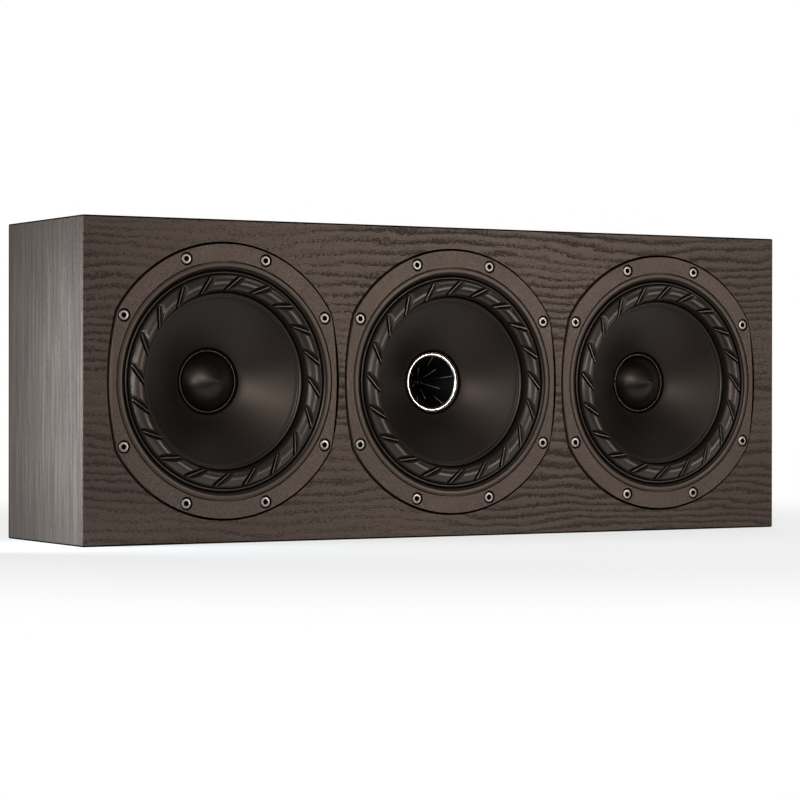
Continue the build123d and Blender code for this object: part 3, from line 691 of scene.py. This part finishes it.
# %% Doped necks
doped_out, doped_roughness = 26.0, 0.35
neck = cone.data.attributes.new("neck", "FLOAT", "POINT")
for vertex, share in zip(cone.data.vertices, neck.data):
    outwards = (math.hypot(vertex.co.x, vertex.co.z) / mm - neck_shade_radius) / (doped_out - neck_shade_radius)
    share.value = (1 - min(max(outwards, 0.0), 1.0)) ** 2
tree = cone_pulp.node_tree
shader = tree.nodes["Principled BSDF"]
doped = add(tree, "ShaderNodeAttribute", attribute_name="neck")
plain_roughness = shader.inputs["Roughness"].links[0].from_socket
rough = sums(tree, "MULTIPLY_ADD", doped.outputs["Fac"], doped_roughness, plain_roughness)
tree.links.new(rough, shader.inputs["Roughness"])
for driver, place in driver_place.items():
    piece = copy_to(cone, driver + "_paper_cone", place)
    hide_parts(driver + "_cone")
    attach(piece, driver + "_cone_assembly")
    print(piece.name, "doped out to", doped_out, "mm")
discard(cone)

# %% Phase plugs
plug_radius, plug_rim, plug_tip, plug_foot = 18.5, 27.0, 13.0, 43.0
plug_section = bowed((0, plug_tip), (10.577, 18.245), (plug_radius, plug_rim), 24)
plug_section += [(plug_radius, plug_rim + 0.6), (plug_radius, plug_foot), (0, plug_foot)]
plug = lathe("plug", plug_section, 96, 40)
plug.data.materials.append(plug_satin)
for driver in ("left", "right"):
    piece = copy_to(plug, driver + "_pointed_plug", driver_place[driver])
    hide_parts(driver + "_phase_plug")
    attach(piece, "cabinet")
discard(plug)

# %% Trim rings
trim_in, trim_out, trim_back, trim_bevel, trim_turn = 70.5, 73.6, 2.0, 0.3, 0.08
trim_section = [(trim_in + trim_bevel, 0.0), (trim_out - trim_bevel, 0.0), (trim_out - trim_turn, trim_turn)]
trim_section += [(trim_out, trim_bevel), (trim_out, trim_back), (trim_in, trim_back), (trim_in, trim_bevel)]
trim_section += [(trim_in + trim_turn, trim_turn), (trim_in + trim_bevel, 0.0)]
trim = lathe("trim", trim_section, 192, 40)
trim.data.materials.append(trim_coat)
for driver, place in driver_place.items():
    piece = copy_to(trim, driver + "_turned_trim", place)
    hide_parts(driver + "_trim_ring")
    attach(piece, "cabinet")
discard(trim)


# %% [markdown]
# ## Horn
# A bright plated ring finishes the horn's mouth. Its inner side is a quarter of an oval that leads into the horn and
# its outer edge is tight, so it is turned in enough steps for its reflections to run smoothly.

# %% Bright ring
ring_in, ring_out, ring_foot, ring_front, ring_crest, ring_steps = 17.2, 18.75, 28.0, 27.25, 18.3, 16
ring_section = []
for step in range(ring_steps + 1):
    turn = math.pi / 2 * step / ring_steps
    inwards, forwards = (ring_crest - ring_in) * math.cos(turn), (ring_foot - ring_front) * math.sin(turn)
    ring_section.append((ring_crest - inwards, ring_foot - forwards))
ring_section += [(18.5, ring_front + 0.03), (18.65, ring_front + 0.12), (ring_out, ring_front + 0.3)]
ring_section += [(ring_out, ring_foot), (ring_in, ring_foot)]
bright_ring = lathe("bright_ring", ring_section, 160, 40)
bright_ring.data.materials.append(ring_plate)
bright_ring.data.transform(Matrix.Translation(driver_place["centre"]))
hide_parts("hf_horn_ring")
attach(bright_ring, "cabinet")

# %% [markdown]
# Inside the horn ten fins spread the sound, every second one short. Their front edges and a small ring on the hub are
# light grey on the black plastic: painted highlights. Each edge is a slim tapered rod laid on its fin with the thick
# end rounded off, and the rods and the hub's ring are joined into one piece.

# %% Fin edges and hub
fin_hub, fin_mouth, short_reach, fin_count, fin_first = (4.2, 42.4), (16.4, 28.5), 0.55, 10, 14.0
rod_at_hub, rod_at_mouth, rod_bevel = 0.1 * mm, 0.24 * mm, 0.08 * mm
shortest, longest = 0.1 * mm, 0.2 * mm  # only the edges around the thick end are in this range
hub_middle, hub_wire = (2.1, 45.9), 0.3
fin_pieces = []
for step in range(fin_count):
    reach = short_reach if step % 2 else 1.0
    near = Vector((*fin_hub, 0)) * mm
    far = near.lerp(Vector((*fin_mouth, 0)) * mm, reach)
    clear_selection()
    bpy.ops.mesh.primitive_cone_add(
        vertices=10,
        radius1=rod_at_hub,
        radius2=rod_at_mouth,
        depth=(far - near).length,
        location=(near + far) / 2,
        rotation=(far - near).to_track_quat("Z", "Y").to_euler(),
    )
    rod = name_new("painted_fin_highlight")
    edit(rod, "EDGE")
    pick_edges(rod, lambda a, b: shortest < (a - b).length < longest)
    bpy.ops.mesh.bevel(offset=rod_bevel, segments=2, affect="EDGES")
    bpy.ops.object.mode_set(mode="OBJECT")
    rod.data.transform(Matrix.Rotation(-math.radians(fin_first + step * 360 / fin_count), 4, "Y"))
    fin_pieces.append(rod)
hub_ring = lathe("hub_ring", arc(hub_middle, hub_wire, 0, 360, 10), 40, 60)
clear_selection()
for rod in fin_pieces + [hub_ring]:
    rod.select_set(True)
bpy.context.view_layer.objects.active = hub_ring
bpy.ops.object.join()
hub_ring.name = "horn_fin_highlights"
hub_ring.data.materials.clear()
hub_ring.data.materials.append(painted_fin_highlight)
hub_ring.data.transform(Matrix.Translation(driver_place["centre"]))
take(hub_ring)
bpy.ops.object.shade_smooth_by_angle(angle=math.radians(50))
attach(hub_ring, "cabinet")
print("horn fin edges", len(hub_ring.data.polygons), "faces")

# %% [markdown]
# ## Coil formers
# The thin bronze tube that carries the voice coil shows as a fine ring in the cone's neck. It is turned with its front
# edge just ahead of the glue joint, and its rear end follows the CAD node.

# %% Former tubes
former_end = (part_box("left_coil_former")[1][1] - driver_place["left"].y) / mm
former_front, former_in, former_out = 26.7, 19.05, 19.24
former_section = [(former_in, former_front), (former_out, former_front), (former_out, former_end)]
former_section += [(former_in, former_end), (former_in, former_front)]
former = lathe("former", former_section, 144, 40)
former.data.materials.append(former_film)
for driver, place in driver_place.items():
    piece = copy_to(former, driver + "_former_tube", place)
    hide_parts(driver + "_coil_former")
    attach(piece, driver + "_cone_assembly")
print("former from", former_front, "to", round(former_end, 2), "mm")
discard(former)


# %% [markdown]
# ## Flange screws
# Eight cap screws hold each flange. A cylinder is the start: its top edge is bevelled, its underside is inset and
# extruded to the shank, and a six-sided bar cuts the socket, whose walls are painted black as shade. A black ring
# fills the gap around the head as painted shade.

# %% One screw
head_radius, head_top, head_height, head_bevel = 3.2, 0.35, 2.8, 0.45
shank_radius, screw_length, socket_radius, socket_depth = 2.0, 12.0, 1.95, 1.7
screw = disc("screw", head_radius, head_top, head_top + head_height, sides=40)
edit(screw, "EDGE")
pick_edges(screw, lambda a, b: max(a.y, b.y) < (head_top + 0.01) * mm)
bpy.ops.mesh.bevel(offset=head_bevel * mm, segments=3, affect="EDGES")
bpy.ops.mesh.select_mode(type="FACE")
pick_faces(screw, lambda face: face.normal.y > 0.9)
bpy.ops.mesh.inset(thickness=(head_radius - shank_radius) * mm)
bpy.ops.mesh.extrude_region_move(TRANSFORM_OT_translate={"value": (0, screw_length * mm, 0)})
bpy.ops.object.mode_set(mode="OBJECT")
apply_boolean(screw, disc("socket cutter", socket_radius, -1, head_top + socket_depth, sides=6), "DIFFERENCE")
take(screw)
bpy.ops.object.shade_smooth_by_angle(angle=math.radians(35))
# A black ring in the gap round the head stands in for the shade there: painted shade.
shade_ring_in, shade_ring_out, shade_ring_top, shade_ring_back = head_radius + 0.02, 4.12, 0.55, 1.4
shade_ring_section = [(shade_ring_in, shade_ring_top), (shade_ring_out, shade_ring_top), (shade_ring_out, shade_ring_back)]
shade_ring_section += [(shade_ring_in, shade_ring_back), (shade_ring_in, shade_ring_top)]
shade_ring = lathe("shade_ring", shade_ring_section, 40)
clear_selection()
shade_ring.select_set(True)
screw.select_set(True)
bpy.context.view_layer.objects.active = screw
bpy.ops.object.join()
for material in (screw_zinc, painted_shade_black):
    screw.data.materials.append(material)
for face in screw.data.polygons:
    radius, depth = math.hypot(face.center.x, face.center.z) / mm, face.center.y / mm
    # The socket walls and the ring round the head take the painted shade black.
    socket = radius < 1.9 and head_top + 0.1 < depth < head_top + 2
    face.material_index = 1 if socket or radius > head_radius + 0.01 else 0
print("screw", len(screw.data.polygons), "faces")

# %% [markdown]
# The one screw is copied to all 24 places, each turned a little further so that no two sockets line up, and the copies
# are joined, since they are one node in the CAD.

# %% All screws
screw_circle, screw_angles, screw_turn = 79.8, (20.0, 60.0), 17.0
copies = []
for driver, place in driver_place.items():
    for angle in screw_angles:
        x = screw_circle * math.sin(math.radians(angle)) * mm
        z = screw_circle * math.cos(math.radians(angle)) * mm
        for spot in ((x, z), (-x, z), (x, -z), (-x, -z)):
            where = place + Vector((spot[0], 0, spot[1]))
            copies.append(copy_to(screw, "screw_copy", where, screw_turn * len(copies)))
discard(screw)
clear_selection()
for copy in copies:
    copy.select_set(True)
bpy.context.view_layer.objects.active = copies[0]
bpy.ops.object.join()
flange_screws = copies[0]
flange_screws.name = "flange_screws"
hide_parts("driver_screws")
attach(flange_screws, "cabinet")
print("flange screws", len(flange_screws.data.polygons), "faces")


# %% [markdown]
# ## Finishes for the rear and the inside
# The rear board, the terminals, the motors and the crossover use the same grit recipe with the values of their own
# stuff: paint, plastic, plating, ferrite, cloth or cement.

# %% More finishes
rear_paint = gritty("black rear paint", (0.012, 0.0115, 0.011), 0.6, 0.0011, 0.3, 0.3, Specular_IOR_Level=0.35)
bare_board = gritty("bare fibreboard", (0.3, 0.21, 0.13), 0.85, 0.0014, 0.2, 0.3, Specular_IOR_Level=0.2)
fleece = gritty("damping fleece", (0.06, 0.06, 0.062), 0.95, 0.0016, 0.4, 0.6, Specular_IOR_Level=0.1)
moulded = gritty("moulded black plastic", (0.011, 0.011, 0.0115), 0.5, 0.0007, 0.2, 0.2, Specular_IOR_Level=0.4)
gold_plate = gritty("gold plating", (0.83, 0.6, 0.24), 0.18, 0.0008, 0.05, 0.02, Metallic=1.0)
red_cap_plastic = gritty("red cap plastic", (0.33, 0.012, 0.012), 0.22, 0.002, 0.08, 0.02, Coat_Weight=0.4)
black_cap_plastic = gritty("black cap plastic", (0.01, 0.01, 0.01), 0.22, 0.002, 0.08, 0.02, Coat_Weight=0.4)
black_oxide = gritty("black oxide screw", (0.03, 0.03, 0.032), 0.4, 0.0005, 0.15, 0.05, Metallic=1.0)
motor_steel = gritty("blackened motor steel", (0.1, 0.1, 0.105), 0.42, 0.0008, 0.2, 0.1, Metallic=1.0)
ferrite = gritty("ferrite", (0.03, 0.03, 0.033), 0.7, 0.0009, 0.25, 0.25)
copper = gritty("enamelled copper", (0.62, 0.29, 0.15), 0.28, 0.0005, 0.2, 0.2, Metallic=1.0)
spider_cloth = gritty("spider cloth", (0.33, 0.22, 0.07), 0.85, 0.0006, 0.3, 0.5)
dome_foil = gritty("dome metal", (0.72, 0.72, 0.74), 0.3, 0.0006, 0.06, 0.05, Metallic=1.0)
laminate = gritty("circuit laminate", (0.02, 0.09, 0.045), 0.4, 0.0012, 0.15, 0.1)
nylon = gritty("nylon", (0.66, 0.65, 0.6), 0.5, 0.0009, 0.06, 0.1)
film_wrap = gritty("capacitor wrap", (0.33, 0.23, 0.05), 0.35, 0.0015, 0.1, 0.05)
cement = gritty("cement resistor", (0.68, 0.66, 0.6), 0.8, 0.0008, 0.12, 0.3)
print(len(bpy.data.materials), "materials in all so far")

# %% [markdown]
# ## Terminals
# Two binding posts with turning caps stand in a moulded cup in the rear board. Moulded and turned edges are never
# knife sharp, so a copy of each CAD solid is merged, its flats are made whole again, and a bevel rounds its edges.

# %% Rounded copies
def rounded(node, name, edge, finish, body, segments=2, sharp=35):
    """A copy of a CAD node whose edges are rounded by a radius in millimetres; it stands for the node."""
    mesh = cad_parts[node].data.copy()
    mesh.materials.clear()
    mesh.materials.append(finish)
    mesh.name = name
    piece = bpy.data.objects.new(name, mesh)
    bpy.context.collection.objects.link(piece)
    edit(piece, "VERT")
    bpy.ops.mesh.customdata_custom_splitnormals_clear()
    bpy.ops.mesh.select_all(action="SELECT")
    bpy.ops.mesh.remove_doubles(threshold=0.002 * mm)
    bpy.ops.mesh.dissolve_limited(angle_limit=math.radians(1.0))
    bpy.ops.object.mode_set(mode="OBJECT")
    bevel = piece.modifiers.new("rounding", "BEVEL")
    bevel.width, bevel.segments = edge * mm, segments
    bevel.limit_method, bevel.angle_limit = "ANGLE", math.radians(sharp)
    bpy.ops.object.modifier_apply(modifier=bevel.name)
    bpy.ops.object.shade_smooth_by_angle(angle=math.radians(sharp))
    for face in mesh.polygons:
        face.material_index = 0
    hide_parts(node)
    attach(piece, body)
    print(name, len(mesh.polygons), "faces")
    return piece


rounded("terminal_cup_screws", "cup_screws", 0.15, black_oxide, "cabinet")
for colour, cap_finish in (("red", red_cap_plastic), ("black", black_cap_plastic)):
    rounded(colour + "_post", colour + "_binding_post", 0.3, gold_plate, "cabinet")
    rounded(colour + "_cap", colour + "_turning_cap", 0.3, cap_finish, colour + "_terminal")

# %% [markdown]
# The cup itself is moulded in one piece: a flat flange with round corners, a shell behind it and a dish with a rounded
# floor. Blocks with bevelled corners are joined and cut for that, then the posts and screws get their holes, and one
# bevel rounds all the edges that a mould would round.

# %% Terminal cup
def moulded_block(name, width, height, near, far, corner):
    """A block with round corners that reaches from one depth behind the rear face to another, in millimetres."""
    clear_selection()
    bpy.ops.mesh.primitive_cube_add(
        size=1, location=(0, -(near + far) / 2 * mm, 0), scale=(width * mm, (far - near) * mm, height * mm)
    )
    piece = name_new(name)
    edit(piece, "EDGE")
    pick_edges(piece, lambda a, b: abs(a.y - b.y) > 0.1 * mm)
    bpy.ops.mesh.bevel(offset=corner * mm, segments=8, affect="EDGES")
    bpy.ops.object.mode_set(mode="OBJECT")
    return piece


cup_width, cup_height, cup_corner, flange_thickness = 76.0, 60.0, 8.0, 2.5
dish_width, dish_height, dish_depth, dish_wall, floor_round = 58.0, 42.0, 21.0, 2.2, 3.0
cup_edge, cup_sharp = 0.4, math.radians(40)
cup = moulded_block("moulded_terminal_cup", cup_width, cup_height, 0, flange_thickness, cup_corner)
shell_size = (dish_width + 2 * dish_wall, dish_height + 2 * dish_wall)
shell = moulded_block("cup shell", *shell_size, flange_thickness / 2, dish_depth + dish_wall, cup_corner + dish_wall)
apply_boolean(cup, shell, "UNION")
dish = moulded_block("dish cutter", dish_width, dish_height, -5, dish_depth, cup_corner)
edit(dish, "EDGE")
pick_edges(dish, lambda a, b: max(a.y, b.y) < (0.01 - dish_depth) * mm)
bpy.ops.mesh.bevel(offset=floor_round * mm, segments=4, affect="EDGES")
bpy.ops.object.mode_set(mode="OBJECT")
apply_boolean(cup, dish, "DIFFERENCE")
post_shift, post_hole = 9.525, 4.1
screw_hole, screw_sink, screw_across, screw_up = 3.0, 1.7, 33.4, 25.4
for side in (-1, 1):
    apply_boolean(cup, disc("post hole", post_hole, -30, 0, side * post_shift, 48), "DIFFERENCE")
    for level in (-1, 1):
        hole = disc("screw hole", screw_hole, -screw_sink, 1, side * screw_across, 32)
        hole.data.transform(Matrix.Translation((0, 0, level * screw_up * mm)))
        apply_boolean(cup, hole, "DIFFERENCE")
take(cup)
bevel = cup.modifiers.new("rounding", "BEVEL")
bevel.width, bevel.segments, bevel.angle_limit = cup_edge * mm, 2, cup_sharp
bpy.ops.object.modifier_apply(modifier=bevel.name)
bpy.ops.object.shade_smooth_by_angle(angle=cup_sharp)
cup.data.materials.append(moulded)
cup.data.transform(Matrix.Translation((driver_place["left"].x, box_high.y, driver_place["left"].z)))
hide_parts("terminal_cup")
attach(cup, "cabinet")
print("terminal cup", len(cup.data.polygons), "faces")

# %% [markdown]
# ## Solids that are carried over
# The other CAD nodes already have the right shape, so they only get a finish. Most of them are inside the cabinet.

# %% Carry the finishes over
finish_of = {
    "rear_panel": rear_paint, "left_brace": bare_board, "right_brace": bare_board, "damping_pads": fleece,
    "hf_horn": horn_black, "hf_diaphragm": dome_foil, "hf_magnet": motor_steel, "hf_rear_cover": moulded,
    "post_nuts": gold_plate, "crossover_board": laminate, "board_spacers": nylon, "crossover_inductors": copper,
    "crossover_capacitors": film_wrap, "crossover_resistors": cement,
}
for driver in driver_place:
    finish_of[driver + "_basket"] = flange_coat
    finish_of[driver + "_coil_winding"] = copper
    finish_of[driver + "_spider"] = spider_cloth
    finish_of[driver + "_magnet"] = ferrite
    finish_of[driver + "_top_plate"] = motor_steel
    finish_of[driver + "_yoke"] = motor_steel
for node, material in finish_of.items():
    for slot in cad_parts[node].material_slots:
        slot.material = material
print(len(finish_of), "CAD nodes finished")


# %% [markdown]
# ## Floor and background
# The photograph is a low-key product shot on white. A pale floor keeps the shadow near the speaker and fades to plain
# white further out. Only the camera, reflections and glass see that white; it adds no soft light to the speaker.

# %% Rays that show the background
def seen_directly(tree):
    """1 for rays that show the background itself, 0 for rays that only carry light."""
    ray = add(tree, "ShaderNodeLightPath")
    seen = sums(tree, "MAXIMUM", ray.outputs["Is Camera Ray"], ray.outputs["Is Glossy Ray"])
    return sums(tree, "MAXIMUM", seen, ray.outputs["Is Transmission Ray"])


print("the background is seen by camera, glossy and transmission rays")

# %% Floor
floor_radius, floor_drop, floor_grey = 30.0, 0.2 * mm, (0.9, 0.9, 0.9, 1.0)
fade_start, fade_end, near_white = 0.3, 0.75, 0.7
clear_selection()
bpy.ops.mesh.primitive_circle_add(vertices=96, radius=floor_radius, fill_type="NGON", location=(0, 0, -floor_drop))
floor = name_new("floor")
floor_paint, tree, shader = new_finish("pale floor", Roughness=0.9, Specular_IOR_Level=0.0)
shader.inputs["Base Color"].default_value = floor_grey
where = add(tree, "ShaderNodeTexCoord")
distance = add(tree, "ShaderNodeVectorMath", operation="LENGTH")
tree.links.new(where.outputs["Object"], distance.inputs[0])
white = add(tree, "ShaderNodeEmission", Strength=1.0)
mix = add(tree, "ShaderNodeMixShader")
far_off = remap(tree, distance.outputs["Value"], fade_start, fade_end, near_white, 1.0)
tree.links.new(sums(tree, "MULTIPLY", far_off, seen_directly(tree)), mix.inputs[0])
tree.links.new(shader.outputs[0], mix.inputs[1])
tree.links.new(white.outputs[0], mix.inputs[2])
tree.links.new(mix.outputs[0], tree.nodes["Material Output"].inputs["Surface"])
floor.data.materials.append(floor_paint)
print("floor fades to white from", fade_start, "to", fade_end, "m")

# %% [markdown]
# A studio keeps white out of glossy black with a black card. This one lies on the floor ahead of the speaker and only
# reflections see it, so the cones and flutes stay dark while the picture keeps its white floor.

# %% Black card
card_length, card_width, card_place = 1.5, 0.48, (-0.1, -0.44, -0.1 * mm)
black_felt = gritty("black felt", (0.012, 0.012, 0.012), 0.95, 0.0015, 0.3, 0.2, Specular_IOR_Level=0.0)
clear_selection()
bpy.ops.mesh.primitive_plane_add(size=1)
card = name_new("black_card")
card.data.transform(Matrix.Translation(card_place) @ Matrix.Diagonal((card_length, card_width, 1, 1)))
card.data.materials.append(black_felt)
card.visible_camera = card.visible_diffuse = card.visible_shadow = card.visible_transmission = False
print("card", card_length, "by", card_width, "m")

# %% [markdown]
# ## World and lamps
# The camera sees the world plain white, and so do reflections and glass, except where three soft dark flags hold it
# back: above, at the right and behind. They give the round pieces their dark sides. As a fill light it is dimmer.

# %% World
world = bpy.data.worlds.new("white studio")
bpy.context.scene.world = world
world.use_nodes = True
tree = world.node_tree
background = tree.nodes["Background"]
background.inputs["Color"].default_value = (1.0, 1.0, 1.0, 1.0)
look = add(tree, "ShaderNodeTexCoord").outputs["Generated"]
ray = add(tree, "ShaderNodeLightPath")
seen = sums(tree, "MAXIMUM", ray.outputs["Is Glossy Ray"], ray.outputs["Is Transmission Ray"])
fill_level = 0.42
level = remap(tree, seen, 0.0, 1.0, fill_level, 1.0)
dark_flags = [
    ((0.4, -0.45, 0.8), 0.5, 0.92, 0.2),
    ((0.98, -0.12, 0.15), 0.7, 0.94, 0.15),
    ((-0.5, 0.86, 0.1), 0.72, 0.95, 0.4),
]
for direction, edge, core, kept in dark_flags:
    toward = add(tree, "ShaderNodeVectorMath", operation="DOT_PRODUCT")
    tree.links.new(look, toward.inputs[0])
    toward.inputs[1].default_value = Vector(direction).normalized()
    level = sums(tree, "MULTIPLY", level, remap(tree, toward.outputs["Value"], edge, core, 1.0, kept))
level = sums(tree, "MAXIMUM", level, ray.outputs["Is Camera Ray"])
tree.links.new(level, background.inputs["Strength"])
print("fill level", fill_level, "with", len(dark_flags), "dark flags")


# %% [markdown]
# The warm key stands beside the camera, above the speaker. A weak lamp at the right and a larger one at the left draw
# the lines on the rolls, a narrow cool one lights the left end, and a softbox over the back edges the top.

# %% Lamps
def soft_lamp(name, place, target, width, height, power, colour=(1.0, 1.0, 1.0), fan=180):
    """A rectangular area lamp that faces its target; fan is how wide its grid lets the light spread, in degrees."""
    clear_selection()
    aim = (Vector(target) - Vector(place)).to_track_quat("-Z", "Y").to_euler()
    bpy.ops.object.light_add(type="AREA", location=place, rotation=aim)
    lamp = bpy.context.active_object
    lamp.name = name
    lamp.data.shape = "RECTANGLE"
    lamp.data.size, lamp.data.size_y = width, height
    lamp.data.energy = power
    lamp.data.color = colour
    lamp.data.spread = math.radians(fan)
    lamp.visible_camera = False
    print(name, power, "W")


warm_light, cool_light = (1.0, 0.91, 0.85), (0.68, 0.85, 1.0)
soft_lamp("key softbox", (-1.55, -1.72, 0.8), (0, 0, 0.1), 0.7, 0.5, 10.5, warm_light)
soft_lamp("right softbox", (1.15, -1.9, 0.25), (0.03, -0.06, 0.12), 0.4, 0.4, 0.55, warm_light, 40)
soft_lamp("left softbox", (-1.7, -0.85, 0.16), (-0.1, -0.05, 0.1), 0.5, 0.5, 11)
soft_lamp("end lamp", (-0.36, -0.036, 0.09), (-0.26, -0.036, 0.09), 0.03, 0.18, 0.6, cool_light, 120)
soft_lamp("top softbox", (0.55, 0.15, 1.03), (0, -0.05, 0.12), 1.0, 0.8, 5)

# %% [markdown]
# ## Camera
# The camera was fitted to the edges of the cabinet in the photograph: its place, its slight roll and a focal length in
# pixels, which a sensor width turns into a lens.

# %% Camera
camera_place, looked_at = Vector((-0.9302, -1.5890, 0.09407)), Vector((-0.039495, -0.0585, 0.08835))
camera_roll, focal_pixels, picture_pixels, sensor_width = math.radians(0.066), 2766.68, 800, 36.0
aim = (looked_at - camera_place).to_track_quat("-Z", "Y")
roll = Matrix.Rotation(camera_roll, 3, "Z").to_quaternion()
clear_selection()
bpy.ops.object.camera_add(location=camera_place, rotation=(aim @ roll).to_euler())
camera = bpy.context.active_object
camera.data.sensor_width = sensor_width
camera.data.lens = focal_pixels / picture_pixels * sensor_width
camera.data.clip_start, camera.data.clip_end = 0.05, 100.0
bpy.context.scene.camera = camera
bpy.context.scene.view_settings.view_transform = "Standard"
print("camera lens", round(camera.data.lens, 2), "mm")
